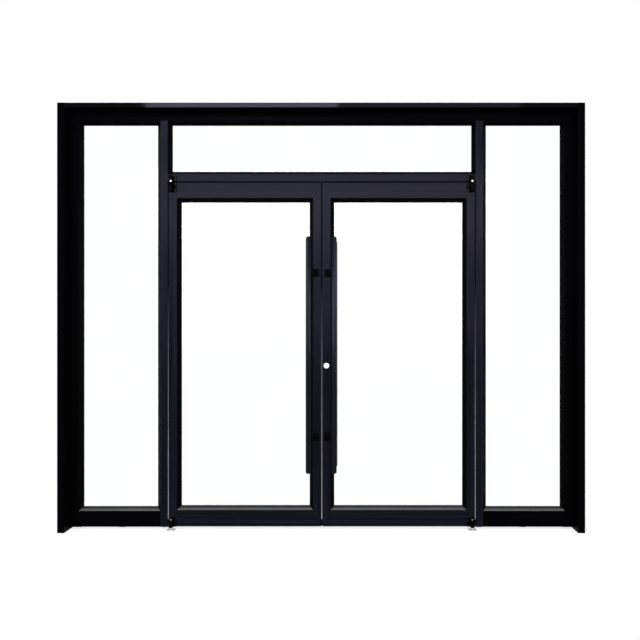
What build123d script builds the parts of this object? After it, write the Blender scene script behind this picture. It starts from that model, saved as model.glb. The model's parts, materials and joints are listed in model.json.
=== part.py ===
from build123d import *
from math import cos, radians, sin
import os

# Double pivot-hung entrance door set in black aluminium. A frame with two side lights and a light over
# the doors stands in a deep portal casing, and two glazed leaves turn on offset pivots.
# Millimetres. X runs across the width, the front faces -Y and Z is up. The origin is on the floor,
# midway across the width and the depth.

# Leaves, and the gaps round them
LEAF_WIDTH = 934.0
LEAF_HEIGHT = 2104.0
LEAF_DEPTH = 48.0
STILE_FACE = 51.0
TOP_RAIL_FACE = 95.0
BOTTOM_RAIL_FACE = 100.0
LEAF_WALL = 3.0
HINGE_GAP = 5.0
MEETING_GAP = 6.0
TOP_GAP = 7.0
FLOOR_GAP = 16.0

# Rubber fins let into the leaves' edges
SEAL_GAP = 0.6
SEAL_ROOT = 1.5
SEAL_THICKNESS = 6.0
SEAL_SET_BACK = 2.5
SEAL_END_DISTANCE = 4.0

# Fixed frame
FRAME_DEPTH = 60.0
FRAME_FACE = 53.0
MULLION_FACE = 46.0
TRANSOM_FACE = 44.0
SILL_FACE = 96.0
FRAME_WALL = 3.0
SIDE_LIGHT_WIDTH = 500.0
TRANSOM_LIGHT_HEIGHT = 328.0
PACKER_HEIGHT = 14.0
SILL_PACKER_WIDTH = 40.0
PACKER_DEPTH = 22.0
PACKER_SET_BACK = 36.0

# Cut along the long edges of every aluminium profile
PROFILE_EDGE = 1.2

# Portal casing round the frame
CASING_FACE = 42.0
CASING_HEAD_FACE = 29.0
CASING_PROJECTION = 70.0
CASING_WALL = 3.0
CASING_GROOVE_INSET = 15.0
CASING_GROOVE_WIDTH = 5.0
CASING_GROOVE_DEPTH = 1.5
FIXING_RADIUS = 4.5
FIXING_END_DISTANCE = 240.5
HEAD_FIXING_END_DISTANCE = 291.0
FIXING_COUNT = 4

# Glazing
GLASS_THICKNESS = 10.0
GLASS_SET_BACK = 24.0
GASKET_WALL = 3.0
GASKET_COVER = 16.0
BEAD_WIDTH = 20.0
BEAD_SET_BACK = 1.5
BEAD_NOSE = 1.0
BACK_BEAD_DEPTH = 9.0

# Offset pivots
PIVOT_INSET = 20.0
PIVOT_OFFSET = 19.0
PIVOT_BARREL_RADIUS = 13.0
PIVOT_BARREL_CHAMFER = 2.0
PIVOT_PLATE_WIDTH = 46.0
PIVOT_PLATE_THICKNESS = 5.0
PIVOT_PLATE_EDGE = 3.0
PIVOT_WEB_WIDTH = 18.0
PIVOT_ARM_HEIGHT = 54.0
PIVOT_FOOT_HEIGHT = 46.0
PIVOT_BRACKET_HEIGHT = 30.0
PIVOT_COLLAR_HEIGHT = 10.0
PIVOT_COLLAR_RADIUS = 7.5
PIVOT_PIN_RADIUS = 6.0
PIVOT_PIN_DEPTH = 42.0
PIVOT_BORE_ROOM = 3.0
FLOOR_PLATE_WIDTH = 48.0
FLOOR_PLATE_DEPTH = 30.0
FLOOR_PLATE_HEIGHT = 5.0
FLOOR_SCREW_SPACING = 34.0
FLOOR_SCREW_RADIUS = 2.25
SPINDLE_PROUD = 4.0
RUNNING_CLEARANCE = 0.05
THRUST_CLEARANCE = 0.3

# Countersunk screws of the pivot plates
SCREW_RADIUS = 2.5
SCREW_HEAD_RADIUS = 4.6
SCREW_HEAD_DEPTH = 2.4
SCREW_LENGTH = 16.0
SCREW_SOCKET_SIDES = 6
SCREW_SOCKET_RADIUS = 2.0
SCREW_SOCKET_DEPTH = 1.6
SCREW_SIDE_DISTANCE = 7.0
SCREW_END_DISTANCE = 8.0
HOLE_CLEARANCE = 0.1

# Pull handles, on both faces of each leaf
PULL_LENGTH = 1426.0
PULL_CENTRE_HEIGHT = 1067.0
PULL_BRACKET_SPACING = 1000.0
PULL_BAR_WIDTH = 30.0
PULL_BAR_DEPTH = 16.0
PULL_BAR_BEVEL = 9.0
PULL_BAR_CORNER = 9.0
PULL_BAR_INSET = 75.0
PULL_STAND_OFF = 50.0
PULL_BRACKET_HEIGHT = 40.0
PULL_POST_WIDTH = 23.0
PULL_POST_REACH = 30.0
PULL_POST_BACK_REACH = 20.0
PULL_ARM_SEAT = 22.0
PULL_BOLT_RADIUS = 4.0
PULL_BOLT_GRIP = 18.0

# Lock in the right leaf's meeting stile
LOCK_HEIGHT = 1000.0
LOCK_RING_RADIUS = 17.5
LOCK_RING_THICKNESS = 6.0
LOCK_RING_CHAMFER = 2.0
LOCK_CYLINDER_RADIUS = 13.0
LOCK_CYLINDER_PROUD = 2.0
LOCK_PLUG_RADIUS = 7.0
LOCK_KEYWAY_WIDTH = 2.4
LOCK_KEYWAY_HEIGHT = 9.0
LOCK_KEYWAY_DEPTH = 14.0
LOCK_TAIL_RADIUS = 3.0
LOCK_CASE_WIDTH = 42.0
LOCK_CASE_DEPTH = 18.0
LOCK_CASE_ABOVE = 40.0
LOCK_CASE_BELOW = 75.0
LOCK_CASE_WALL = 2.0
LOCK_BOLT_DROP = 42.0
LOCK_BOLT_THICKNESS = 10.0
LOCK_BOLT_HEIGHT = 24.0
LOCK_BOLT_LENGTH = 36.0
LOCK_BOLT_THROW = 22.0
LOCK_BOLT_SET_IN = 1.0
LOCK_BOLT_CLEARANCE = 0.3
STRIKE_THICKNESS = 1.5
STRIKE_WIDTH = 24.0
STRIKE_HEIGHT = 90.0
STRIKE_SLOT_CLEARANCE = 1.5
THUMB_TURN_RADIUS = 9.0
THUMB_TURN_REACH = 24.0
THUMB_WING_WIDTH = 9.0
THUMB_WING_HEIGHT = 36.0
THUMB_WING_DEPTH = 14.0

# One overrun serves every cut that goes right through
OVERRUN = 10.0

# Heights, widths and depths that follow from the sizes above
FRAME_FRONT = -FRAME_DEPTH / 2
FRAME_BACK = FRAME_DEPTH / 2
LEAF_FRONT = FRAME_FRONT
LEAF_BACK = LEAF_FRONT + LEAF_DEPTH
CASING_FRONT = FRAME_FRONT - CASING_PROJECTION
CASING_BACK = FRAME_BACK + CASING_PROJECTION
LEAF_INNER_X = MEETING_GAP / 2
LEAF_OUTER_X = LEAF_INNER_X + LEAF_WIDTH
DOORWAY_X = LEAF_OUTER_X + HINGE_GAP
MULLION_OUTER_X = DOORWAY_X + MULLION_FACE
JAMB_INNER_X = MULLION_OUTER_X + SIDE_LIGHT_WIDTH
JAMB_OUTER_X = JAMB_INNER_X + FRAME_FACE
CASING_OUTER_X = JAMB_OUTER_X + CASING_FACE
LEAF_TOP = FLOOR_GAP + LEAF_HEIGHT
TRANSOM_LOW = LEAF_TOP + TOP_GAP
TRANSOM_HIGH = TRANSOM_LOW + TRANSOM_FACE
HEAD_LOW = TRANSOM_HIGH + TRANSOM_LIGHT_HEIGHT
HEAD_HIGH = HEAD_LOW + FRAME_FACE
CASING_TOP = HEAD_HIGH + CASING_HEAD_FACE
SILL_HIGH = PACKER_HEIGHT + SILL_FACE
PIVOT_X = LEAF_OUTER_X - PIVOT_INSET
PIVOT_Y = LEAF_FRONT - PIVOT_OFFSET
GASKET_FRONT = LEAF_FRONT + GLASS_SET_BACK - GASKET_WALL
GASKET_BACK = LEAF_FRONT + GLASS_SET_BACK + GLASS_THICKNESS + GASKET_WALL
STILE_MIDDLE_X = LEAF_INNER_X + STILE_FACE / 2
LEAF_MIDDLE_Y = (LEAF_FRONT + LEAF_BACK) / 2
COLLAR_LOW = (LEAF_TOP + TRANSOM_LOW - PIVOT_COLLAR_HEIGHT) / 2
COLLAR_HIGH = COLLAR_LOW + PIVOT_COLLAR_HEIGHT

nodes = {}


def block(low, high):
    """A box between its lowest and highest corners."""
    size = [b - a for a, b in zip(low, high)]
    return Solid.make_box(*size, Plane(origin=low))


def upright(outline, low, high):
    """An outline of (x, y) points, carried up from one height to another."""
    face = Face(Wire.make_polygon([(x, y, low) for x, y in outline]))
    return Solid.extrude(face, Vector(0, 0, high - low))


def level(outline, left, right):
    """An outline of (y, z) points, carried across from one side to another."""
    face = Face(Wire.make_polygon([(left, y, z) for y, z in outline]))
    return Solid.extrude(face, Vector(right - left, 0, 0))


def plate(outline, front, back):
    """An outline of (x, z) points, carried back from one depth to another."""
    face = Face(Wire.make_polygon([(x, front, z) for x, z in outline]))
    return Solid.extrude(face, Vector(0, back - front, 0))


def post(radius, x, y, low, high):
    """A round bar that stands upright."""
    return Solid.make_cylinder(radius, high - low, Plane(origin=(x, y, low)))


def stud(radius, x, z, front, back):
    """A round bar that runs from front to back."""
    return Solid.make_cylinder(radius, back - front, Plane(origin=(x, front, z), z_dir=(0, 1, 0)))


def spindle(radius, y, z, left, right):
    """A round bar that runs across."""
    return Solid.make_cylinder(radius, right - left, Plane(origin=(left, y, z), z_dir=(1, 0, 0)))


def eased(a0, a1, b0, b1):
    """A rectangle with its four corners cut, as an extruded profile has them."""
    e = PROFILE_EDGE
    return [
        (a0 + e, b0),
        (a1 - e, b0),
        (a1, b0 + e),
        (a1, b1 - e),
        (a1 - e, b1),
        (a0 + e, b1),
        (a0, b1 - e),
        (a0, b0 + e),
    ]


def upright_tube(x0, x1, front, back, low, high, wall):
    """A rectangular tube that stands upright, open at both ends."""
    inner = block((x0 + wall, front + wall, low - OVERRUN), (x1 - wall, back - wall, high + OVERRUN))
    return upright(eased(x0, x1, front, back), low, high) - inner


def level_tube(z0, z1, front, back, left, right, wall):
    """A rectangular tube that lies across, open at both ends."""
    inner = block((left - OVERRUN, front + wall, z0 + wall), (right + OVERRUN, back - wall, z1 - wall))
    return level(eased(front, back, z0, z1), left, right) - inner


def mirrored(shape):
    """The same shape on the other side of the middle."""
    if isinstance(shape, list):
        return [piece.mirror(Plane.YZ) for piece in shape]
    return shape.mirror(Plane.YZ)


def keep(name, shape):
    """Stores a node as a list of its solids."""
    pieces = shape if isinstance(shape, list) else [shape]
    nodes[name] = [solid for piece in pieces for solid in piece.solids()]


def keep_pair(name, shape):
    """Stores a right-hand node and its mirrored left-hand twin."""
    keep("right_" + name, shape)
    keep("left_" + name, mirrored(shape))


def spread(low, high, count):
    """Places spread evenly from one end to the other."""
    return [low + (high - low) * n / (count - 1) for n in range(count)]


# Portal casing
def casing_jamb():
    """Box section with a groove down its front face and fixing holes in its back reveal."""
    shape = upright_tube(JAMB_OUTER_X, CASING_OUTER_X, CASING_FRONT, CASING_BACK, 0, CASING_TOP, CASING_WALL)
    groove_high = CASING_OUTER_X - CASING_GROOVE_INSET
    shape -= block(
        (groove_high - CASING_GROOVE_WIDTH, CASING_FRONT - OVERRUN, -OVERRUN),
        (groove_high, CASING_FRONT + CASING_GROOVE_DEPTH, CASING_TOP + OVERRUN),
    )
    hole_y = FRAME_BACK + CASING_PROJECTION / 2
    for z in spread(FIXING_END_DISTANCE, CASING_TOP - FIXING_END_DISTANCE, FIXING_COUNT):
        shape -= spindle(FIXING_RADIUS, hole_y, z, JAMB_OUTER_X - OVERRUN, CASING_OUTER_X + OVERRUN)
    return shape


def casing_head():
    """Box section between the casing's jambs, with fixing holes in its back reveal."""
    depth = (CASING_FRONT, CASING_BACK)
    shape = level_tube(HEAD_HIGH, CASING_TOP, *depth, -JAMB_OUTER_X, JAMB_OUTER_X, CASING_WALL)
    hole_y = FRAME_BACK + CASING_PROJECTION / 2
    reach = JAMB_OUTER_X - HEAD_FIXING_END_DISTANCE
    for x in spread(-reach, reach, FIXING_COUNT):
        shape -= post(FIXING_RADIUS, x, hole_y, HEAD_HIGH - OVERRUN, CASING_TOP + OVERRUN)
    return shape


keep_pair("casing_jamb", casing_jamb())
keep("casing_head", casing_head())


# Glazing: a pane in its channel gasket, held by mitred beads in front and behind
def bead_ring(x0, x1, z0, z1, section):
    """Four mitred beads round an opening, from a section of (distance in, depth) points."""
    in_x0, in_x1 = x0 + BEAD_WIDTH, x1 - BEAD_WIDTH
    in_z0, in_z1 = z0 + BEAD_WIDTH, z1 - BEAD_WIDTH
    front, back = FRAME_FRONT, FRAME_BACK
    low = level([(v, z0 + u) for u, v in section], x0, x1)
    high = level([(v, z1 - u) for u, v in section], x0, x1)
    near = upright([(x0 + u, v) for u, v in section], z0, z1)
    far = upright([(x1 - u, v) for u, v in section], z0, z1)
    return [
        low & plate([(x0, z0), (x1, z0), (in_x1, in_z0), (in_x0, in_z0)], front, back),
        high & plate([(x0, z1), (x1, z1), (in_x1, in_z1), (in_x0, in_z1)], front, back),
        near & plate([(x0, z0), (in_x0, in_z0), (in_x0, in_z1), (x0, z1)], front, back),
        far & plate([(x1, z0), (in_x1, in_z0), (in_x1, in_z1), (x1, z1)], front, back),
    ]


def glazing(x0, x1, z0, z1):
    """The glass, gasket and beads that fill an opening."""
    edge = GASKET_WALL
    glass_front = LEAF_FRONT + GLASS_SET_BACK
    glass_back = glass_front + GLASS_THICKNESS
    glass = block((x0 + edge, glass_front, z0 + edge), (x1 - edge, glass_back, z1 - edge))
    gasket = block((x0, GASKET_FRONT, z0), (x1, GASKET_BACK, z1))
    gasket -= block(
        (x0 + GASKET_COVER, GASKET_FRONT - OVERRUN, z0 + GASKET_COVER),
        (x1 - GASKET_COVER, GASKET_BACK + OVERRUN, z1 - GASKET_COVER),
    )
    gasket -= glass
    bead_front = LEAF_FRONT + BEAD_SET_BACK
    bead_back = GASKET_BACK + BACK_BEAD_DEPTH
    front_section = [(0, bead_front), (BEAD_NOSE, bead_front), (BEAD_WIDTH, GASKET_FRONT), (0, GASKET_FRONT)]
    back_section = [(0, GASKET_BACK), (BEAD_WIDTH, GASKET_BACK), (BEAD_NOSE, bead_back), (0, bead_back)]
    beads = bead_ring(x0, x1, z0, z1, front_section) + bead_ring(x0, x1, z0, z1, back_section)
    return glass, gasket, beads


def keep_glazing():
    """Stores the glazing of the side lights, the transom light and the leaves."""
    glass, side_gasket, side_beads = glazing(MULLION_OUTER_X, JAMB_INNER_X, SILL_HIGH, HEAD_LOW)
    keep_pair("side_light_glass", glass)
    glass, gasket, beads = glazing(-DOORWAY_X, DOORWAY_X, TRANSOM_HIGH, HEAD_LOW)
    keep("transom_light_glass", glass)
    keep("fixed_light_gaskets", [side_gasket, mirrored(side_gasket), gasket])
    keep("fixed_light_beads", side_beads + mirrored(side_beads) + beads)
    glass, gasket, beads = glazing(
        LEAF_INNER_X + STILE_FACE,
        LEAF_OUTER_X - STILE_FACE,
        FLOOR_GAP + BOTTOM_RAIL_FACE,
        LEAF_TOP - TOP_RAIL_FACE,
    )
    keep_pair("leaf_glass", glass)
    keep_pair("leaf_gasket", gasket)
    keep_pair("leaf_beads", beads)


keep_glazing()


# Countersunk screw, driven towards the back
def screw(x, z, front, clearance):
    """The screw itself, or with a clearance the hole that it goes in."""
    shank = stud(SCREW_RADIUS + clearance, x, z, front, front + SCREW_LENGTH + clearance)
    seat = Plane(origin=(x, front, z), z_dir=(0, 1, 0))
    head = Solid.make_cone(SCREW_HEAD_RADIUS + clearance, SCREW_RADIUS + clearance, SCREW_HEAD_DEPTH, seat)
    return shank + head


def socket_screw(x, z, front):
    """The screw with its six-sided driving socket."""
    turns = [radians(360 * n / SCREW_SOCKET_SIDES) for n in range(SCREW_SOCKET_SIDES)]
    corners = [(x + SCREW_SOCKET_RADIUS * cos(t), z + SCREW_SOCKET_RADIUS * sin(t)) for t in turns]
    return screw(x, z, front, 0) - plate(corners, front - OVERRUN, front + SCREW_SOCKET_DEPTH)


def pivot_screw_places(low, high):
    """The two screws of a pivot plate, in the strip beside its barrel."""
    x = LEAF_OUTER_X - PIVOT_PLATE_EDGE - PIVOT_PLATE_WIDTH + SCREW_SIDE_DISTANCE
    return [(x, low + SCREW_END_DISTANCE), (x, high - SCREW_END_DISTANCE)]


PLATE_FRONT = LEAF_FRONT - PIVOT_PLATE_THICKNESS
TOP_ARM = (COLLAR_LOW - PIVOT_ARM_HEIGHT, COLLAR_LOW)
BOTTOM_ARM = (FLOOR_GAP, FLOOR_GAP + PIVOT_FOOT_HEIGHT)
TOP_BRACKET = (COLLAR_HIGH, COLLAR_HIGH + PIVOT_BRACKET_HEIGHT)
BRACKET_SCREWS = pivot_screw_places(*TOP_BRACKET)
ARM_SCREWS = pivot_screw_places(*TOP_ARM) + pivot_screw_places(*BOTTOM_ARM)


def drilled(shape, places):
    """A profile with the holes of the screws that fasten a pivot plate to it."""
    for x, z in places:
        shape -= screw(x, z, PLATE_FRONT, HOLE_CLEARANCE)
    return shape


# Fixed frame
def frame_members():
    """Jambs, mullions and sills for one side, then the head and the transom bar."""
    depth = (FRAME_FRONT, FRAME_BACK)
    foot, wall = PACKER_HEIGHT, FRAME_WALL
    keep_pair("frame_jamb", upright_tube(JAMB_INNER_X, JAMB_OUTER_X, *depth, foot, HEAD_HIGH, wall))
    keep_pair("mullion", upright_tube(DOORWAY_X, MULLION_OUTER_X, *depth, foot, HEAD_LOW, wall))
    keep_pair("sill", level_tube(foot, SILL_HIGH, *depth, MULLION_OUTER_X, JAMB_INNER_X, wall))
    keep("frame_head", level_tube(HEAD_LOW, HEAD_HIGH, *depth, -JAMB_INNER_X, JAMB_INNER_X, wall))
    bar = level_tube(TRANSOM_LOW, TRANSOM_HIGH, *depth, -DOORWAY_X, DOORWAY_X, wall)
    keep("transom_bar", drilled(bar, BRACKET_SCREWS + [(-x, z) for x, z in BRACKET_SCREWS]))


def packers():
    """Levelling packers under the jambs, the mullions and the middle of each sill."""
    sill_middle = (MULLION_OUTER_X + JAMB_INNER_X) / 2
    half = SILL_PACKER_WIDTH / 2
    spans = [
        (DOORWAY_X, MULLION_OUTER_X),
        (sill_middle - half, sill_middle + half),
        (JAMB_INNER_X, JAMB_OUTER_X),
    ]
    front = FRAME_FRONT + PACKER_SET_BACK
    right = [block((x0, front, 0), (x1, front + PACKER_DEPTH, PACKER_HEIGHT)) for x0, x1 in spans]
    return right + mirrored(right)


frame_members()
keep("levelling_packers", packers())


# Leaf profiles, mitred where the stiles and rails meet
def leaf_members():
    """Stiles and rails of the right leaf, as tubes cut along their mitres."""
    x0, x1, z0, z1 = LEAF_INNER_X, LEAF_OUTER_X, FLOOR_GAP, LEAF_TOP
    in_x0, in_x1 = x0 + STILE_FACE, x1 - STILE_FACE
    in_z0, in_z1 = z0 + BOTTOM_RAIL_FACE, z1 - TOP_RAIL_FACE
    depth = (LEAF_FRONT, LEAF_BACK)
    meeting = upright_tube(x0, in_x0, *depth, z0, z1, LEAF_WALL)
    hinge = upright_tube(in_x1, x1, *depth, z0, z1, LEAF_WALL)
    bottom = level_tube(z0, in_z0, *depth, x0, x1, LEAF_WALL)
    top = level_tube(in_z1, z1, *depth, x0, x1, LEAF_WALL)
    return {
        "meeting_stile": meeting & plate([(x0, z0), (in_x0, in_z0), (in_x0, in_z1), (x0, z1)], *depth),
        "hinge_stile": hinge & plate([(x1, z0), (in_x1, in_z0), (in_x1, in_z1), (x1, z1)], *depth),
        "bottom_rail": bottom & plate([(x0, z0), (x1, z0), (in_x1, in_z0), (in_x0, in_z0)], *depth),
        "top_rail": top & plate([(x0, z1), (x1, z1), (in_x1, in_z1), (in_x0, in_z1)], *depth),
    }


PULL_HEIGHTS = [PULL_CENTRE_HEIGHT - PULL_BRACKET_SPACING / 2, PULL_CENTRE_HEIGHT + PULL_BRACKET_SPACING / 2]
CASE_FRONT = LEAF_MIDDLE_Y - LOCK_CASE_DEPTH / 2
CASE_BACK = LEAF_MIDDLE_Y + LOCK_CASE_DEPTH / 2
BOLT_Z = LOCK_HEIGHT - LOCK_BOLT_DROP


def edge_plate():
    """The blank of the lock's forend and of the strike, let in flush with the meeting edge."""
    half_y, half_z = STRIKE_WIDTH / 2, STRIKE_HEIGHT / 2
    return block(
        (LEAF_INNER_X, LEAF_MIDDLE_Y - half_y, BOLT_Z - half_z),
        (LEAF_INNER_X + STRIKE_THICKNESS, LEAF_MIDDLE_Y + half_y, BOLT_Z + half_z),
    )


def bolt_passage(clearance):
    """The room that the bolt needs through the meeting edge."""
    half_y = LOCK_BOLT_THICKNESS / 2 + clearance
    half_z = LOCK_BOLT_HEIGHT / 2 + clearance
    return block(
        (LEAF_INNER_X - OVERRUN, LEAF_MIDDLE_Y - half_y, BOLT_Z - half_z),
        (LEAF_INNER_X + STILE_FACE - LEAF_WALL, LEAF_MIDDLE_Y + half_y, BOLT_Z + half_z),
    )


def bolt_holes(shape):
    """A meeting stile with the holes of the handles' through bolts."""
    for z in PULL_HEIGHTS:
        radius = PULL_BOLT_RADIUS + HOLE_CLEARANCE
        shape -= stud(radius, STILE_MIDDLE_X, z, LEAF_FRONT - OVERRUN, LEAF_BACK + OVERRUN)
    return shape


def edge_seals():
    """The fins that narrow the meeting, hinge and top gaps, with their roots in the leaf's edges."""
    front = LEAF_FRONT + SEAL_SET_BACK
    back = front + SEAL_THICKNESS
    low, high = FLOOR_GAP + SEAL_END_DISTANCE, LEAF_TOP - SEAL_END_DISTANCE
    inner, outer = LEAF_INNER_X + SEAL_END_DISTANCE, LEAF_OUTER_X - SEAL_END_DISTANCE
    return {
        "meeting_stile": block((SEAL_GAP / 2, front, low), (LEAF_INNER_X + SEAL_ROOT, back, high)),
        "hinge_stile": block((LEAF_OUTER_X - SEAL_ROOT, front, low), (DOORWAY_X - SEAL_GAP, back, high)),
        "top_rail": block((inner, front, LEAF_TOP - SEAL_ROOT), (outer, back, TRANSOM_LOW - SEAL_GAP)),
    }


def leaf_frames():
    """Stores both leaves' profiles, with the lock's cuts in the right and the strike's in the left."""
    members = leaf_members()
    blank = edge_plate()
    slot = bolt_passage(STRIKE_SLOT_CLEARANCE)
    seals = edge_seals()
    keep_pair("edge_seals", list(seals.values()))
    for name, seal in seals.items():
        members[name] -= seal
    meeting = bolt_holes(members["meeting_stile"])
    keep("left_meeting_stile", mirrored(meeting - blank - slot))
    keep("strike_plate", mirrored(blank - slot))
    lock_hole = LOCK_CYLINDER_RADIUS + HOLE_CLEARANCE
    meeting -= stud(lock_hole, STILE_MIDDLE_X, LOCK_HEIGHT, LEAF_FRONT - OVERRUN, LEAF_BACK + OVERRUN)
    keep("right_meeting_stile", meeting - blank - bolt_passage(LOCK_BOLT_CLEARANCE))
    keep("lock_forend", blank - bolt_passage(LOCK_BOLT_CLEARANCE))
    for name in ("hinge_stile", "bottom_rail", "top_rail"):
        keep_pair(name, drilled(members[name], ARM_SCREWS))


leaf_frames()


# Offset pivots: a bracket on the transom bar, arms on the leaf, a pin above and a floor plate below
def pivot_casting(low, high, places):
    """A plate and a barrel joined by a web, with holes for its screws."""
    plate_right = LEAF_OUTER_X - PIVOT_PLATE_EDGE
    barrel = post(PIVOT_BARREL_RADIUS, PIVOT_X, PIVOT_Y, low, high)
    barrel = barrel.chamfer(PIVOT_BARREL_CHAMFER, None, barrel.edges().filter_by(GeomType.CIRCLE))
    web_half = PIVOT_WEB_WIDTH / 2
    shape = block((plate_right - PIVOT_PLATE_WIDTH, PLATE_FRONT, low), (plate_right, LEAF_FRONT, high))
    shape += block((PIVOT_X - web_half, PIVOT_Y, low), (PIVOT_X + web_half, PLATE_FRONT, high))
    return drilled(shape + barrel, places)


def pivots():
    """Stores the right-hand pivot pieces and their left-hand twins."""
    bore = PIVOT_PIN_RADIUS + RUNNING_CLEARANCE
    bore_depth = PIVOT_PIN_DEPTH + PIVOT_BORE_ROOM
    top_arm = pivot_casting(*TOP_ARM, pivot_screw_places(*TOP_ARM))
    top_arm -= post(bore, PIVOT_X, PIVOT_Y, COLLAR_LOW - bore_depth, COLLAR_LOW + OVERRUN)
    keep_pair("top_pivot_arm", top_arm)
    bottom_arm = pivot_casting(*BOTTOM_ARM, pivot_screw_places(*BOTTOM_ARM))
    bottom_arm -= post(bore, PIVOT_X, PIVOT_Y, FLOOR_GAP - OVERRUN, BOTTOM_ARM[1] + OVERRUN)
    keep_pair("bottom_pivot_arm", bottom_arm)
    bracket = pivot_casting(*TOP_BRACKET, BRACKET_SCREWS)
    bracket -= post(bore, PIVOT_X, PIVOT_Y, COLLAR_HIGH - OVERRUN, TOP_BRACKET[1] + OVERRUN)
    keep("top_pivot_brackets", [bracket, mirrored(bracket)])
    pin = post(PIVOT_PIN_RADIUS, PIVOT_X, PIVOT_Y, COLLAR_LOW - PIVOT_PIN_DEPTH, TOP_BRACKET[1])
    pin += post(PIVOT_COLLAR_RADIUS, PIVOT_X, PIVOT_Y, COLLAR_LOW + THRUST_CLEARANCE, COLLAR_HIGH)
    keep("top_pivot_pins", [pin, mirrored(pin)])
    keep("floor_pivots", [floor_pivot(), mirrored(floor_pivot())])


def floor_pivot():
    """A plate screwed to the floor, with a collar that carries the leaf and a spindle through its arm."""
    half_x, half_y = FLOOR_PLATE_WIDTH / 2, FLOOR_PLATE_DEPTH / 2
    shape = block(
        (PIVOT_X - half_x, PIVOT_Y - half_y, 0),
        (PIVOT_X + half_x, PIVOT_Y + half_y, FLOOR_PLATE_HEIGHT),
    )
    for side in (-1, 1):
        x = PIVOT_X + side * FLOOR_SCREW_SPACING / 2
        shape -= post(FLOOR_SCREW_RADIUS, x, PIVOT_Y, -OVERRUN, FLOOR_PLATE_HEIGHT + OVERRUN)
    shape += post(PIVOT_COLLAR_RADIUS, PIVOT_X, PIVOT_Y, FLOOR_PLATE_HEIGHT, FLOOR_GAP - THRUST_CLEARANCE)
    return shape + post(PIVOT_PIN_RADIUS, PIVOT_X, PIVOT_Y, FLOOR_PLATE_HEIGHT, BOTTOM_ARM[1] + SPINDLE_PROUD)


pivots()
keep_pair("pivot_screws", [socket_screw(x, z, PLATE_FRONT) for x, z in ARM_SCREWS])
bracket_screws = [socket_screw(x, z, PLATE_FRONT) for x, z in BRACKET_SCREWS]
keep("bracket_screws", bracket_screws + mirrored(bracket_screws))


# Pull handles: a flat bar with a bevelled face on two cranked brackets, bolted back to back
def pull_outline(points, face, outwards):
    """Points of (distance from the meeting edge, reach from the leaf's face) as (x, y)."""
    return [(LEAF_INNER_X + d, face + outwards * p) for d, p in points]


def pull_bar(face, outwards):
    """The bar, with its face bevelled towards the meeting edge and its outer corners cut."""
    low, high = PULL_CENTRE_HEIGHT - PULL_LENGTH / 2, PULL_CENTRE_HEIGHT + PULL_LENGTH / 2
    near, far = PULL_BAR_INSET - PULL_BAR_WIDTH / 2, PULL_BAR_INSET + PULL_BAR_WIDTH / 2
    reach = PULL_STAND_OFF + PULL_BAR_DEPTH
    section = [
        (near, PULL_STAND_OFF),
        (far, PULL_STAND_OFF),
        (far, reach),
        (PULL_BAR_INSET, reach),
        (near, reach - PULL_BAR_BEVEL),
    ]
    x0, x1 = LEAF_INNER_X + near, LEAF_INNER_X + far
    cut = PULL_BAR_CORNER
    shadow = [(x0, low), (x1 - cut, low), (x1, low + cut), (x1, high - cut), (x1 - cut, high), (x0, high)]
    ends = sorted((face, face + outwards * (reach + OVERRUN)))
    return upright(pull_outline(section, face, outwards), low, high) & plate(shadow, *ends)


def pull_brackets(face, outwards):
    """Two cranked brackets, each with a blind hole for its through bolt."""
    middle = STILE_FACE / 2
    near, far = middle - PULL_POST_WIDTH / 2, middle + PULL_POST_WIDTH / 2
    seat_near = PULL_BAR_INSET - PULL_ARM_SEAT / 2
    seat_far = PULL_BAR_INSET + PULL_ARM_SEAT / 2
    outline = [
        (near, 0),
        (near, PULL_POST_REACH),
        (seat_near, PULL_STAND_OFF),
        (seat_far, PULL_STAND_OFF),
        (far, PULL_POST_BACK_REACH),
        (far, 0),
    ]
    half = PULL_BRACKET_HEIGHT / 2
    ends = sorted((face, face + outwards * (PULL_BOLT_GRIP + HOLE_CLEARANCE)))
    radius = PULL_BOLT_RADIUS + HOLE_CLEARANCE
    brackets = []
    for z in PULL_HEIGHTS:
        bracket = upright(pull_outline(outline, face, outwards), z - half, z + half)
        brackets.append(bracket - stud(radius, STILE_MIDDLE_X, z, *ends))
    return brackets


keep_pair("pull_bar", pull_bar(LEAF_FRONT, -1))
keep_pair("back_pull_bar", pull_bar(LEAF_BACK, 1))
keep_pair("pull_brackets", pull_brackets(LEAF_FRONT, -1) + pull_brackets(LEAF_BACK, 1))
through_bolts = [
    stud(PULL_BOLT_RADIUS, STILE_MIDDLE_X, z, LEAF_FRONT - PULL_BOLT_GRIP, LEAF_BACK + PULL_BOLT_GRIP)
    for z in PULL_HEIGHTS
]
keep_pair("pull_bolts", through_bolts)


# Lock: case, bolt, cylinder with its turning plug, and a thumb turn on the back
RING_FRONT = LEAF_FRONT - LOCK_RING_THICKNESS
RING_BACK = LEAF_BACK + LOCK_RING_THICKNESS
CYLINDER_FRONT = RING_FRONT - LOCK_CYLINDER_PROUD


def lock_ring(front, back, outer_rim, hole):
    """A ring on the stile's face, chamfered at its first or last rim from the front."""
    ring = stud(LOCK_RING_RADIUS, STILE_MIDDLE_X, LOCK_HEIGHT, front, back)
    rims = ring.edges().filter_by(GeomType.CIRCLE).sort_by(Axis.Y)
    ring = ring.chamfer(LOCK_RING_CHAMFER, None, [rims[outer_rim]])
    return ring - stud(hole, STILE_MIDDLE_X, LOCK_HEIGHT, front - OVERRUN, back + OVERRUN)


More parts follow.
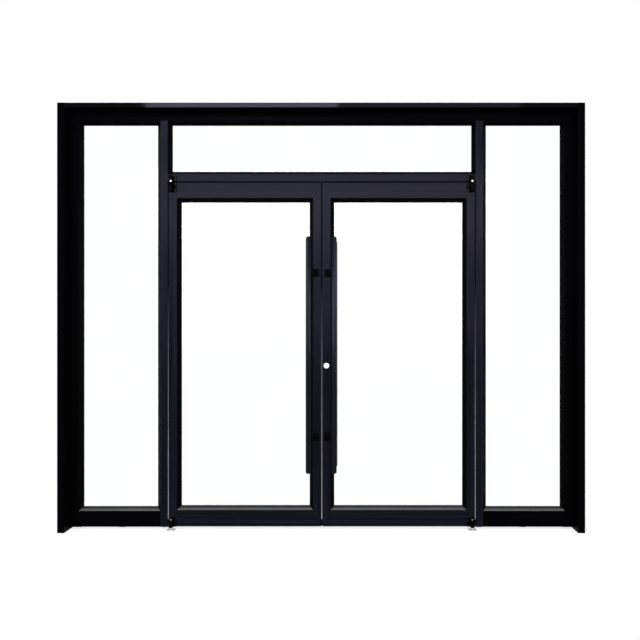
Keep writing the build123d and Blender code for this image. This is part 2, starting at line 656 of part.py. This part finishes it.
def lock_case():
    """The case in the stile's chamber, with the bolt's channel and the tail's hole."""
    left = LEAF_INNER_X + LEAF_WALL
    low, high = LOCK_HEIGHT - LOCK_CASE_BELOW, LOCK_HEIGHT + LOCK_CASE_ABOVE
    shape = block((left, CASE_FRONT, low), (left + LOCK_CASE_WIDTH, CASE_BACK, high))
    wall = LOCK_CASE_WALL
    shape -= block(
        (left + wall, CASE_FRONT + wall, BOLT_Z + LOCK_BOLT_HEIGHT / 2 + wall),
        (left + LOCK_CASE_WIDTH - wall, CASE_BACK - wall, high - wall),
    )
    shape -= bolt_passage(LOCK_BOLT_CLEARANCE)
    tail_hole = LOCK_TAIL_RADIUS + RUNNING_CLEARANCE
    return shape - stud(tail_hole, STILE_MIDDLE_X, LOCK_HEIGHT, CASE_FRONT - OVERRUN, CASE_BACK + OVERRUN)


def lock_cylinder():
    """The fixed shell that holds the plug, in front of the case."""
    shell = stud(LOCK_CYLINDER_RADIUS, STILE_MIDDLE_X, LOCK_HEIGHT, CYLINDER_FRONT, CASE_FRONT)
    hole = LOCK_PLUG_RADIUS + RUNNING_CLEARANCE
    return shell - stud(hole, STILE_MIDDLE_X, LOCK_HEIGHT, CYLINDER_FRONT - OVERRUN, CASE_FRONT + OVERRUN)


def lock_plug():
    """The plug with its keyway, and the tail that reaches the thumb turn."""
    x, z = STILE_MIDDLE_X, LOCK_HEIGHT
    shape = stud(LOCK_PLUG_RADIUS, x, z, CYLINDER_FRONT, CASE_FRONT - THRUST_CLEARANCE)
    shape += stud(LOCK_TAIL_RADIUS, x, z, CYLINDER_FRONT + LOCK_KEYWAY_DEPTH, RING_BACK)
    half_x, half_z = LOCK_KEYWAY_WIDTH / 2, LOCK_KEYWAY_HEIGHT / 2
    return shape - block(
        (x - half_x, CYLINDER_FRONT - OVERRUN, z - half_z),
        (x + half_x, CYLINDER_FRONT + LOCK_KEYWAY_DEPTH, z + half_z),
    )


def thumb_turn():
    """A round boss on the tail with an upright wing to turn it by."""
    x, z = STILE_MIDDLE_X, LOCK_HEIGHT
    end = RING_BACK + THUMB_TURN_REACH
    shape = stud(THUMB_TURN_RADIUS, x, z, LEAF_BACK + THRUST_CLEARANCE, end)
    half_x, half_z = THUMB_WING_WIDTH / 2, THUMB_WING_HEIGHT / 2
    shape += block((x - half_x, end - THUMB_WING_DEPTH, z - half_z), (x + half_x, end, z + half_z))
    return shape - stud(LOCK_TAIL_RADIUS, x, z, LEAF_BACK - OVERRUN, RING_BACK)


def lock_bolt():
    """The sliding bolt, drawn back so that its tip lies just inside the leaf's edge."""
    tip = LEAF_INNER_X + LOCK_BOLT_SET_IN
    half_y, half_z = LOCK_BOLT_THICKNESS / 2, LOCK_BOLT_HEIGHT / 2
    return block(
        (tip, LEAF_MIDDLE_Y - half_y, BOLT_Z - half_z),
        (tip + LOCK_BOLT_LENGTH, LEAF_MIDDLE_Y + half_y, BOLT_Z + half_z),
    )


keep("lock_ring", lock_ring(RING_FRONT, LEAF_FRONT, 0, LOCK_CYLINDER_RADIUS + HOLE_CLEARANCE))
keep("thumb_turn_ring", lock_ring(LEAF_BACK, RING_BACK, -1, THUMB_TURN_RADIUS + RUNNING_CLEARANCE))
keep("lock_case", lock_case())
keep("lock_cylinder", lock_cylinder())
keep("lock_plug", lock_plug())
keep("thumb_turn", thumb_turn())
keep("lock_bolt", lock_bolt())

os.makedirs("parts", exist_ok=True)
for name, solids in nodes.items():
    shape = solids[0] if len(solids) == 1 else Compound(solids)
    export_step(shape, os.path.join("parts", name + ".step"))
print(len(nodes), "nodes", sum(len(s) for s in nodes.values()), "solids")
print("overall", 2 * CASING_OUTER_X, CASING_BACK - CASING_FRONT, CASING_TOP)
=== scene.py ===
import json
from math import copysign, radians

import bmesh
import bpy
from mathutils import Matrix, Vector


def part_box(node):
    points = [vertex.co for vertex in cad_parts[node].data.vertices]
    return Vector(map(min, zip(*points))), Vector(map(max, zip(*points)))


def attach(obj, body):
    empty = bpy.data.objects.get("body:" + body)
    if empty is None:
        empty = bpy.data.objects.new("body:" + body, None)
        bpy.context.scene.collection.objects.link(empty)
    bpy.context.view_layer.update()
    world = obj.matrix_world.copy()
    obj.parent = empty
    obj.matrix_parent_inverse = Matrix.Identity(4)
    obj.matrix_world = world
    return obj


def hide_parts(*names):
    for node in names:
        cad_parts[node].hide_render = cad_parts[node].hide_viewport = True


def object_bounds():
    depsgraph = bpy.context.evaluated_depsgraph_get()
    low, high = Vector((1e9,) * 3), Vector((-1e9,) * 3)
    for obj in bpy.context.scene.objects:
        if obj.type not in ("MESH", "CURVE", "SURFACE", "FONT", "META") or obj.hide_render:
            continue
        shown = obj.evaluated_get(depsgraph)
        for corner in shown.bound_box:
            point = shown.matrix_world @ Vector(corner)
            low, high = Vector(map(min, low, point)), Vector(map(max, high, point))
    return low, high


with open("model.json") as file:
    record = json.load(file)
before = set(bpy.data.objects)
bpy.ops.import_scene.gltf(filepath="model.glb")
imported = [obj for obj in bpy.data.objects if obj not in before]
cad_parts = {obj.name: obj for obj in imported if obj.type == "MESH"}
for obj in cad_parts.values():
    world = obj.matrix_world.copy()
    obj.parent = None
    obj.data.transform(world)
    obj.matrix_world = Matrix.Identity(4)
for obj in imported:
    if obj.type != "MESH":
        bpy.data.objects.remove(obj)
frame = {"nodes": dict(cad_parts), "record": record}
cad_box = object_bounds()
nodes = frame["nodes"]
record = frame["record"]
SLOT_OF = {part["node"]: part["material_slot"] for part in record["subparts"]}
BODY_OF = {node: body for body, members in record["behaviour"]["bodies"].items() for node in members}

# Lengths are in metres, and those whose names end in _mm or _MM are in millimetres
MM = 0.001

# The camera looks straight at the door set from a little right of its middle
CAMERA_PLACE = (0.185, -3.445, 1.218)
CAMERA_LENS_MM = 31.4
CAMERA_SENSOR_MM = 36.0
CAMERA_SHIFT = (-0.05, 0.0156)
# This turn stands a flat shape upright, and points the camera level
UPRIGHT_TURN = (radians(90), 0, 0)

# Copies of the solids: points closer than the distance are joined, faces within the flat angle become one,
# and only edges past the sharp angle count as sharp
MERGE_DISTANCE = 0.01 * MM
FLAT_ANGLE = radians(1.0)
SHARP_ANGLE = radians(28.0)

# Rounded edges of the pull bars and their brackets
ROUNDED_WIDTHS = {"pull_bar": 1.2 * MM, "back_pull_bar": 1.2 * MM, "pull_brackets": 1.5 * MM}
ROUND_SEGMENTS = 3
ROUND_PROFILE = 0.5

# Edge seals: a solid fin stops this far short of the bar beside it, and a real fin bends against that bar
SEAL_GAP = 0.6 * MM
# The upright fins end between these distances below the top fin's edge
SEAL_ENDS = (9 * MM, 12 * MM)

# Rubber lips between the panes and their beads. A pane's edge is a gasket's wall inside its opening, and the
# lip stands a little way out from under the bead.
BEAD_WIDTH = 20 * MM
GASKET_WALL = 3 * MM
LIP_OVERHANG = 0.4 * MM
LIP_INSET = BEAD_WIDTH - GASKET_WALL + LIP_OVERHANG
LIP_RADIUS = 1.6 * MM
LIP_SIDES = 10
LIP_SHARP_ANGLE = radians(50.0)
PANES = {
    "frame": ["left_side_light_glass", "right_side_light_glass", "transom_light_glass"],
    "left_leaf": ["left_leaf_glass"],
    "right_leaf": ["right_leaf_glass"],
}

# Painted light on the beads and seals grows towards the floor, and is gone at this height
PAINTED_LIGHT_TOP = 1.5
# On the seals the painted light starts between these heights, above the arms of the bottom pivots
SEAL_LIGHT_START = (55 * MM, 70 * MM)
# On a front bead the painted highlight grows from the first of these depths, at the glass, to the second,
# near the front edge, and a back bead has this share of it
BEAD_LIGHT_DEPTHS = (-9 * MM, -27 * MM)
BACK_BEAD_LIGHT = 0.05
# On a bead the painted highlight grows as the upward part of the slope goes from the first of these values to
# the second
BEAD_LIGHT_SLOPE = (0.3, 0.7)
# The floor pivots' plates are dusty up to the first of these heights, and bare steel starts at the second
PLATE_DUST_END = (5.5 * MM, 6.5 * MM)

# A noise lies mostly between the first two limits, and a share between the second two
NOISE_LIMITS = (0.3, 0.7)
SHARE_LIMITS = (0.0, 1.0)

# Die lines are 1 or 2 mm apart and are drawn 12 mm apart, and deeper than they are, so that they show
UPRIGHT_LINES_MM = (12.0, 12.0, 900.0)
LEVEL_LINES_MM = (900.0, 12.0, 12.0)
LINE_DEPTH_MM = 0.35
LINE_DETAIL = 3.0
COOL_SHEEN = "#dcd9ff"

# Powder coats of the leaves and the bars round them, of the outer frame and its casing, and of the pull bars.
# The outer frame and its casing take the leaves' coat drawn darker and with less sheen, which is painted
# shade.
LEAF_COAT = {"colours": ("#010104", "#14141c"), "rough": (0.12, 0.34), "sheen": 0.082}
SHADED_OUTER_COAT = {"colours": ("#010102", "#040405"), "rough": (0.28, 0.4), "sheen": 0.014}
PULL_BAR_COAT = {"colours": ("#06070b", "#101118"), "rough": (0.16, 0.24), "sheen": 0.125}
# The casing head is the smoothest member, and mirrors the strip lamps in front of it. It keeps the outer
# coat's darker colours, which are painted shade.
HEAD_COAT = {**SHADED_OUTER_COAT, "rough": (0.04, 0.08), "sheen": 0.04, "depth_mm": 0.02}
LEVEL_MEMBERS = ("head", "rail", "sill", "transom_bar")
OUTER_MEMBERS = ("casing_jamb", "frame_jamb", "frame_head", "sill")

# The floor keeps the shadow close to the object, where it shows this share of white by itself, and goes over
# to plain white within the reach of the shadow
FLOOR_GLOW = 0.7
SHADOW_REACH = 0.45
STAGE_REACH = 40.0
# Where the floor shows white by itself it takes no light from the lamps, so it is never more than white
FLOOR_COLOURS = ("#b8b8b8", "#000000")
# The studio lights the object dimly, and shows white
STUDIO_COLOURS = ("#5c5c64", "#ffffff")

# Lamps: name, place, the point it faces, width and height, and watts. The softboxes light the front and the
# back, and the strips light the casing head, the upward slopes and the sides of the bars.
LAMPS = (
    ("upper_softbox", (-0.2, -4.7, 3.05), (-0.2, 0.0, 2.2), (5.4, 1.0), 94),
    ("lower_softbox", (0.0, -4.7, 1.8), (0.0, 0.0, 1.4), (5.0, 1.6), 54),
    ("head_strip", (-0.08, -4.65, 4.395), (-0.08, 0.0, 2.5), (5.3, 0.22), 17),
    ("left_head_strip", (-1.37, -4.6, 4.375), (-1.37, 0.0, 2.5), (2.7, 0.22), 42),
    ("overhead_strip", (0.0, -1.6, 4.7), (0.0, -0.3, 0.1), (7.2, 0.5), 85),
    ("left_strip", (-4.5, -2.35, 1.9), (0.0, -0.1, 1.3), (0.7, 1.9), 36),
    ("right_strip", (4.5, -3.0, 1.9), (0.0, -0.1, 1.3), (0.7, 1.9), 36),
    ("back_softbox", (0.0, 4.7, 3.4), (0.0, 0.0, 1.2), (5.6, 1.7), 110),
)


def linear(colour):
    """An sRGB hex colour as linear red, green, blue and alpha."""
    parts = [int(colour[at:at + 2], 16) / 255 for at in (1, 3, 5)]
    return (*[p / 12.92 if p <= 0.04045 else ((p + 0.055) / 1.055) ** 2.4 for p in parts], 1.0)


def add(tree, kind, inputs=None, **settings):
    """Adds one node to a tree, with its settings, and sets or links its inputs."""
    made = tree.nodes.new(kind)
    for name, value in settings.items():
        setattr(made, name, value)
    for name, value in (inputs or {}).items():
        if isinstance(value, bpy.types.NodeSocket):
            tree.links.new(value, made.inputs[name])
        else:
            made.inputs[name].default_value = value
    return made


def put(name, data):
    """Adds an object with this data to the scene."""
    made = bpy.data.objects.new(name, data)
    bpy.context.scene.collection.objects.link(made)
    return made


def new_material(name, **values):
    """A material whose shader has these constant values, by socket name with _ for a space."""
    material = bpy.data.materials.new(name)
    material.use_nodes = True
    shader = material.node_tree.nodes["Principled BSDF"]
    for key, value in values.items():
        shader.inputs[key.replace("_", " ")].default_value = value
    return material, material.node_tree, shader


def axes_of(tree):
    """The X, Y and Z of a point on a piece."""
    place = add(tree, "ShaderNodeTexCoord").outputs["Object"]
    return add(tree, "ShaderNodeSeparateXYZ", {"Vector": place}).outputs


def grain(tree, size_mm, detail=2.0):
    """A noise whose marks have these real sizes along X, Y and Z."""
    place = add(tree, "ShaderNodeTexCoord").outputs["Object"]
    scale = [1 / (size * MM) for size in size_mm]
    sized = add(tree, "ShaderNodeMapping", {"Vector": place, "Scale": scale}).outputs[0]
    return add(tree, "ShaderNodeTexNoise", {"Vector": sized, "Scale": 1.0, "Detail": detail}).outputs["Fac"]


def between(tree, pattern, colours, limits=NOISE_LIMITS):
    """A colour that goes from the first to the second as a pattern goes from one limit to the other."""
    ramp = add(tree, "ShaderNodeValToRGB", {"Fac": pattern})
    for end, colour, limit in zip(ramp.color_ramp.elements, colours, limits):
        end.position = limit
        end.color = linear(colour)
    return ramp.outputs["Color"]


def spread(tree, pattern, low, high):
    """A number that goes from low to high with a noise."""
    start, end = NOISE_LIMITS
    values = {"Value": pattern, "From Min": start, "From Max": end, "To Min": low, "To Max": high}
    return add(tree, "ShaderNodeMapRange", values).outputs["Result"]


def dress(tree, shader, colour, roughness=None, height=None, depth_mm=0.0, strength=1.0):
    """Links a material's colour, roughness and bump to its shader."""
    tree.links.new(colour, shader.inputs["Base Color"])
    if roughness:
        tree.links.new(roughness, shader.inputs["Roughness"])
    if height:
        relief = {"Height": height, "Distance": depth_mm * MM, "Strength": strength}
        bump = add(tree, "ShaderNodeBump", relief).outputs["Normal"]
        tree.links.new(bump, shader.inputs["Normal"])


def surface(name, size_mm, colours, rough, depth_mm, strength=1.0, detail=2.0, **values):
    """A material whose colour, roughness and bump follow one noise."""
    material, tree, shader = new_material(name, **values)
    marks = grain(tree, size_mm, detail)
    dress(tree, shader, between(tree, marks, colours), spread(tree, marks, *rough), marks, depth_mm, strength)
    return material


# Polyester powder coat on extruded aluminium: satin black with a cool sheen, and die lines along each bar
def powder_coat(name, lines_mm, colours, rough, sheen, depth_mm=LINE_DEPTH_MM):
    return surface(
        name,
        lines_mm,
        colours,
        rough,
        depth_mm,
        detail=LINE_DETAIL,
        Specular_IOR_Level=sheen,
        Specular_Tint=linear(COOL_SHEEN),
    )


# Powder coat on the clip-in beads: dull black with a fine peel, drawn 2 mm wide so that it shows, and a pale
# painted highlight where a low bead slopes upwards, brightest in front
def bead_coat_with_painted_light():
    material, tree, shader = new_material("bead_coat_painted_light", Specular_IOR_Level=0.025)
    facing = add(tree, "ShaderNodeNewGeometry").outputs["Normal"]
    upwards = add(tree, "ShaderNodeSeparateXYZ", {"Vector": facing}).outputs["Z"]
    along = axes_of(tree)
    # Each row is a value, where the painted highlight starts, where it is full, and the share that lies
    # before the start
    limits = (
        (along["Y"], *BEAD_LIGHT_DEPTHS, BACK_BEAD_LIGHT),
        (along["Z"], PAINTED_LIGHT_TOP, 0.0, 0.0),
        (upwards, *BEAD_LIGHT_SLOPE, 0.0),
    )
    painted_light = spread(tree, grain(tree, (120.0, 8.0, 8.0)), low=0.8, high=1.0)
    for value, start, full, least in limits:
        share = {"Value": value, "From Min": start, "From Max": full, "To Min": least}
        kept = add(tree, "ShaderNodeMapRange", share).outputs[0]
        painted_light = add(tree, "ShaderNodeMath", {0: painted_light, 1: kept}, operation="MULTIPLY").outputs[0]
    # The pale colour is a painted highlight, not a colour of the coat
    colour = between(tree, painted_light, ("#010102", "#6c6b6b"), SHARE_LIMITS)
    peel = grain(tree, (2.0, 2.0, 2.0))
    dress(tree, shader, colour, spread(tree, peel, low=0.35, high=0.45), peel, depth_mm=0.05, strength=0.2)
    return material


# Black enamel on a steel casting: deep black with a soft ripple
def black_enamel():
    return surface(
        "enamelled_casting",
        size_mm=(6.0, 6.0, 6.0),
        colours=("#010102", "#040405"),
        rough=(0.3, 0.42),
        depth_mm=0.08,
        strength=0.3,
        Specular_IOR_Level=0.02,
    )


# Turned steel: bright, with fine tool marks round its axis, and pale dust over the plates on the floor
def turned_steel():
    material = surface(
        "turned_steel",
        size_mm=(30.0, 30.0, 0.6),
        colours=("#c4c5c8", "#ececee"),
        rough=(0.16, 0.3),
        depth_mm=0.02,
        strength=0.3,
    )
    tree = material.node_tree
    start, end = PLATE_DUST_END
    bare = add(tree, "ShaderNodeMapRange", {"Value": axes_of(tree)["Z"], "From Min": start, "From Max": end})
    tree.links.new(bare.outputs[0], tree.nodes["Principled BSDF"].inputs["Metallic"])
    return material


# Satin chrome plate: bright and slightly soft, with fine scratches left by buffing
def satin_chrome():
    return surface(
        "satin_chrome_plate",
        size_mm=(0.8, 8.0, 0.8),
        colours=("#dcdde0", "#f4f4f6"),
        rough=(0.22, 0.36),
        depth_mm=0.01,
        strength=0.3,
        Metallic=1.0,
    )


# Extruded rubber: matt black, with a slightly dusty surface
def channel_rubber():
    return surface(
        "channel_rubber",
        size_mm=(4.0, 4.0, 4.0),
        colours=("#030304", "#08080a"),
        rough=(0.6, 0.8),
        depth_mm=0.05,
        strength=0.3,
        Specular_IOR_Level=0.02,
    )


# Rubber fins in the leaves' edges: black, with painted light that turns them grey towards the floor, but not
# beside the bottom pivots
def seal_rubber_with_painted_light():
    material, tree, shader = new_material("seal_rubber_painted_light", Specular_IOR_Level=0.01, Roughness=0.75)
    height = axes_of(tree)["Z"]
    painted_light = spread(tree, grain(tree, (6.0, 6.0, 40.0)), low=0.7, high=1.0)
    for start, full in (SEAL_LIGHT_START, (PAINTED_LIGHT_TOP, 0.0)):
        share = {"Value": height, "From Min": start, "From Max": full, "To Max": painted_light}
        painted_light = add(tree, "ShaderNodeMapRange", share).outputs[0]
    # The grey is painted light, not a colour of the rubber
    dress(tree, shader, between(tree, painted_light, ("#030304", "#bcbcc2"), SHARE_LIMITS))
    return material


# Blackened steel screws: dark oxide with a dull sheen
def black_oxide():
    return surface(
        "black_oxide_steel",
        size_mm=(1.5, 1.5, 1.5),
        colours=("#08080a", "#121215"),
        rough=(0.35, 0.5),
        depth_mm=0.02,
        strength=0.2,
        Metallic=0.6,
    )


# Moulded black plastic: matt, with a spark-eroded grain
def moulded_plastic():
    return surface(
        "moulded_plastic",
        size_mm=(1.2, 1.2, 1.2),
        colours=("#08080a", "#101012"),
        rough=(0.5, 0.65),
        depth_mm=0.05,
        strength=0.4,
        Specular_IOR_Level=0.2,
    )


# Clear float glass: colourless and polished, with a breath of green
def float_glass():
    material, tree, shader = new_material("float_glass", Transmission_Weight=1.0, Roughness=0.0, IOR=1.5)
    tint = grain(tree, (400.0, 400.0, 400.0))
    dress(tree, shader, between(tree, tint, ("#feffff", "#ffffff")))
    return material


COATS = {
    "upright": powder_coat("upright_powder_coat", UPRIGHT_LINES_MM, **LEAF_COAT),
    "level": powder_coat("level_powder_coat", LEVEL_LINES_MM, **LEAF_COAT),
    "outer_upright": powder_coat("shaded_outer_upright_coat", UPRIGHT_LINES_MM, **SHADED_OUTER_COAT),
    "outer_level": powder_coat("shaded_outer_level_coat", LEVEL_LINES_MM, **SHADED_OUTER_COAT),
    "casing_head": powder_coat("head_powder_coat", LEVEL_LINES_MM, **HEAD_COAT),
}
FINISHES = {
    "bead_aluminium": bead_coat_with_painted_light(),
    "clear_glass": float_glass(),
    "black_rubber": channel_rubber(),
    "black_casting": black_enamel(),
    "bright_steel": turned_steel(),
    "black_screws": black_oxide(),
    "satin_chrome": satin_chrome(),
    "handle_coating": powder_coat("handle_powder_coat", UPRIGHT_LINES_MM, **PULL_BAR_COAT),
    "packer_plastic": moulded_plastic(),
}
SEAL_RUBBER = seal_rubber_with_painted_light()


def finish_of(node):
    """The material of a node, with the die lines of a coated bar along its length."""
    if "edge_seals" in node:
        return SEAL_RUBBER
    if SLOT_OF[node] in FINISHES:
        return FINISHES[SLOT_OF[node]]
    if node in COATS:
        return COATS[node]
    lie = "level" if any(word in node for word in LEVEL_MEMBERS) else "upright"
    # The outer frame and casing take the darker copy of the coat, which is painted shade
    return COATS["outer_" + lie if any(word in node for word in OUTER_MEMBERS) else lie]


for name, solid in nodes.items():
    for holder in solid.material_slots:
        holder.material = finish_of(name)


def make_piece(name, work, body, material, sharp_angle, replaced=None):
    """Makes a worked mesh a piece of a body, in place of the plain solid of a node if it has one."""
    bmesh.ops.recalc_face_normals(work, faces=work.faces)
    mesh = bpy.data.meshes.new(name)
    work.to_mesh(mesh)
    work.free()
    mesh.materials.append(material)
    mesh.shade_smooth()
    mesh.set_sharp_from_angle(angle=sharp_angle)
    piece = put(name, mesh)
    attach(piece, body)
    if replaced:
        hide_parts(replaced)


def merged(node):
    """A copy of a solid's mesh, with its loose triangles joined."""
    work = bmesh.new()
    work.from_mesh(nodes[node].data)
    bmesh.ops.remove_doubles(work, verts=work.verts, dist=MERGE_DISTANCE)
    bmesh.ops.dissolve_limit(work, angle_limit=FLAT_ANGLE, verts=work.verts, edges=work.edges)
    return work


def stand_in(prefix, work, node):
    """Makes a worked copy of a node's solid the piece that stands for it."""
    make_piece(prefix + node, work, BODY_OF[node], finish_of(node), SHARP_ANGLE, replaced=node)


# Pull bars and their brackets
def rounded(node, width):
    """A copy of a solid with its sharp edges rounded."""
    work = merged(node)
    sharp = [edge for edge in work.edges if edge.is_manifold and edge.calc_face_angle() > SHARP_ANGLE]
    bmesh.ops.bevel(
        work,
        geom=sharp,
        offset=width,
        segments=ROUND_SEGMENTS,
        profile=ROUND_PROFILE,
        affect="EDGES",
        clamp_overlap=True,
    )
    stand_in("rounded_", work, node)


# Edge seals
def pressed_seals(node):
    """A copy of a leaf's edge seals, with fins that touch the bars beside them and close the top corners."""
    low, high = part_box(node)
    hinge_edge = max(abs(low.x), abs(high.x))
    work = merged(node)
    for corner in work.verts:
        place = corner.co
        below = high.z - place.z
        if abs(place.x) < SEAL_GAP:
            place.x = 0.0
        elif abs(place.x) > hinge_edge - MERGE_DISTANCE:
            place.x += copysign(SEAL_GAP, place.x)
        if below < MERGE_DISTANCE or SEAL_ENDS[0] < below < SEAL_ENDS[1]:
            place.z = high.z + SEAL_GAP
    stand_in("pressed_", work, node)


for side in ("left_", "right_"):
    for member, width in ROUNDED_WIDTHS.items():
        rounded(side + member, width)
    pressed_seals(side + "edge_seals")


# Rubber lips: a round bead that follows the edge of a pane, once in front and once behind
def lip_tree():
    """The node tree that runs a lip round both faces of a pane, and the identifiers of its inputs."""
    tree = bpy.data.node_groups.new("glazing_lip", "GeometryNodeTree")
    kinds = dict.fromkeys(("Width", "Height", "Thickness", "Radius"), "NodeSocketFloat")
    kinds.update(Centre="NodeSocketVector", Rubber="NodeSocketMaterial")
    keys = {}
    for name, kind in kinds.items():
        keys[name] = tree.interface.new_socket(name, in_out="INPUT", socket_type=kind).identifier
    tree.interface.new_socket("Lip", in_out="OUTPUT", socket_type="NodeSocketGeometry")
    given = add(tree, "NodeGroupInput").outputs

    size = {"Width": given["Width"], "Height": given["Height"]}
    edge = add(tree, "GeometryNodeCurvePrimitiveQuadrilateral", size).outputs[0]
    upright = add(tree, "GeometryNodeTransform", {"Geometry": edge, "Rotation": UPRIGHT_TURN}).outputs[0]
    circle = {"Resolution": LIP_SIDES, "Radius": given["Radius"]}
    profile = add(tree, "GeometryNodeCurvePrimitiveCircle", circle, mode="RADIUS").outputs["Curve"]
    lip = add(tree, "GeometryNodeCurveToMesh", {"Curve": upright, "Profile Curve": profile}).outputs[0]

    front = add(tree, "ShaderNodeMath", {0: given["Thickness"], 1: -0.5}, operation="MULTIPLY").outputs[0]
    start = add(tree, "ShaderNodeCombineXYZ", {"Y": front}).outputs[0]
    step = add(tree, "ShaderNodeCombineXYZ", {"Y": given["Thickness"]}).outputs[0]
    faces = {"Count": 2, "Start Location": start, "Offset": step}
    places = add(tree, "GeometryNodeMeshLine", faces).outputs[0]
    moved = {"Geometry": places, "Translation": given["Centre"]}
    placed = add(tree, "GeometryNodeTransform", moved).outputs[0]

    both = add(tree, "GeometryNodeInstanceOnPoints", {"Points": placed, "Instance": lip}).outputs[0]
    real = add(tree, "GeometryNodeRealizeInstances", {"Geometry": both}).outputs[0]
    done = add(tree, "GeometryNodeSetMaterial", {"Geometry": real, "Material": given["Rubber"]}).outputs[0]
    add(tree, "NodeGroupOutput", {"Lip": done})
    return tree, keys


def lip_mesh(tree, keys, pane):
    """The lips of one pane as a plain mesh, along the inner edge of its beads."""
    low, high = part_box(pane)
    holder = put("lip_holder", bpy.data.meshes.new("lip_holder"))
    modifier = holder.modifiers.new("lip", "NODES")
    modifier.node_group = tree
    values = {
        "Width": high.x - low.x - 2 * LIP_INSET,
        "Height": high.z - low.z - 2 * LIP_INSET,
        "Thickness": high.y - low.y,
        "Radius": LIP_RADIUS,
        "Centre": (low + high) / 2,
        "Rubber": FINISHES["black_rubber"],
    }
    for name, value in values.items():
        modifier[keys[name]] = value
    bpy.context.view_layer.update()
    shaped = holder.evaluated_get(bpy.context.evaluated_depsgraph_get())
    mesh = bpy.data.meshes.new_from_object(shaped)
    bpy.data.objects.remove(holder)
    return mesh


lip_nodes, lip_keys = lip_tree()
for body, panes in PANES.items():
    lips = bmesh.new()
    for pane in panes:
        lips.from_mesh(lip_mesh(lip_nodes, lip_keys, pane))
    rubber = FINISHES["black_rubber"]
    make_piece(body + "_glazing_lips", lips, body, rubber, LIP_SHARP_ANGLE)


# Stage: a pale floor that keeps the shadow, in a white studio
def shown_ray(tree):
    """One for a ray from the camera, a reflection or through glass, and zero for other light."""
    path = add(tree, "ShaderNodeLightPath").outputs
    shown = path["Is Camera Ray"]
    for other in ("Is Glossy Ray", "Is Transmission Ray"):
        shown = add(tree, "ShaderNodeMath", {0: shown, 1: path[other]}, operation="MAXIMUM").outputs[0]
    return shown


def pale_floor():
    """A matt floor that also shows white by itself, less so round the object's foot."""
    material = bpy.data.materials.new("pale_floor")
    material.use_nodes = True
    tree = material.node_tree
    tree.nodes.remove(tree.nodes["Principled BSDF"])
    place = add(tree, "ShaderNodeTexCoord").outputs["Object"]
    foot = (cad_box[1].x, cad_box[1].y, 0)
    side = add(tree, "ShaderNodeVectorMath", {0: place}, operation="ABSOLUTE").outputs[0]
    past = add(tree, "ShaderNodeVectorMath", {0: side, 1: foot}, operation="SUBTRACT").outputs[0]
    clear = add(tree, "ShaderNodeVectorMath", {0: past, 1: (0, 0, 0)}, operation="MAXIMUM").outputs[0]
    away = add(tree, "ShaderNodeVectorMath", {0: clear}, operation="LENGTH").outputs["Value"]
    fade = {"Value": away, "From Max": SHADOW_REACH, "To Min": FLOOR_GLOW}
    glow = add(tree, "ShaderNodeMapRange", fade).outputs[0]
    level = add(tree, "ShaderNodeMath", {0: shown_ray(tree), 1: glow}, operation="MULTIPLY").outputs[0]
    lit = add(tree, "ShaderNodeEmission", {"Strength": level}).outputs[0]
    colour = between(tree, glow, FLOOR_COLOURS, (FLOOR_GLOW, 1.0))
    matt = add(tree, "ShaderNodeBsdfDiffuse", {"Color": colour}).outputs[0]
    both = add(tree, "ShaderNodeAddShader", {0: matt, 1: lit}).outputs[0]
    tree.links.new(both, tree.nodes["Material Output"].inputs["Surface"])
    return material


def stage_floor():
    """The floor as one flat sheet."""
    mesh = bpy.data.meshes.new("floor")
    corners = [(-1, -1, 0), (1, -1, 0), (1, 1, 0), (-1, 1, 0)]
    mesh.from_pydata([Vector(corner) * STAGE_REACH for corner in corners], [], [(0, 1, 2, 3)])
    mesh.materials.append(pale_floor())
    put("floor", mesh)


def white_studio():
    """The world round the object."""
    world = bpy.data.worlds.new("studio")
    bpy.context.scene.world = world
    world.use_nodes = True
    tree = world.node_tree
    colour = between(tree, shown_ray(tree), STUDIO_COLOURS, SHARE_LIMITS)
    tree.links.new(colour, tree.nodes["Background"].inputs["Color"])


def studio_lamp(name, place, aim, size, watts):
    """A rectangular lamp that faces a point, and isn't seen itself through the panes."""
    lamp = bpy.data.lights.new(name, "AREA")
    lamp.shape = "RECTANGLE"
    lamp.size, lamp.size_y = size
    lamp.energy = watts
    holder = put(name, lamp)
    holder.location = place
    holder.rotation_euler = (Vector(aim) - Vector(place)).to_track_quat("-Z", "Y").to_euler()
    holder.visible_transmission = False


def front_camera():
    """The camera, level in front of the object."""
    lens = bpy.data.cameras.new("camera")
    lens.lens = CAMERA_LENS_MM
    lens.sensor_width = CAMERA_SENSOR_MM
    lens.shift_x, lens.shift_y = CAMERA_SHIFT
    camera = put("camera", lens)
    camera.location = CAMERA_PLACE
    camera.rotation_euler = UPRIGHT_TURN
    bpy.context.scene.camera = camera


stage_floor()
white_studio()
for lamp in LAMPS:
    studio_lamp(*lamp)
front_camera()
bpy.context.scene.view_settings.view_transform = "Standard"
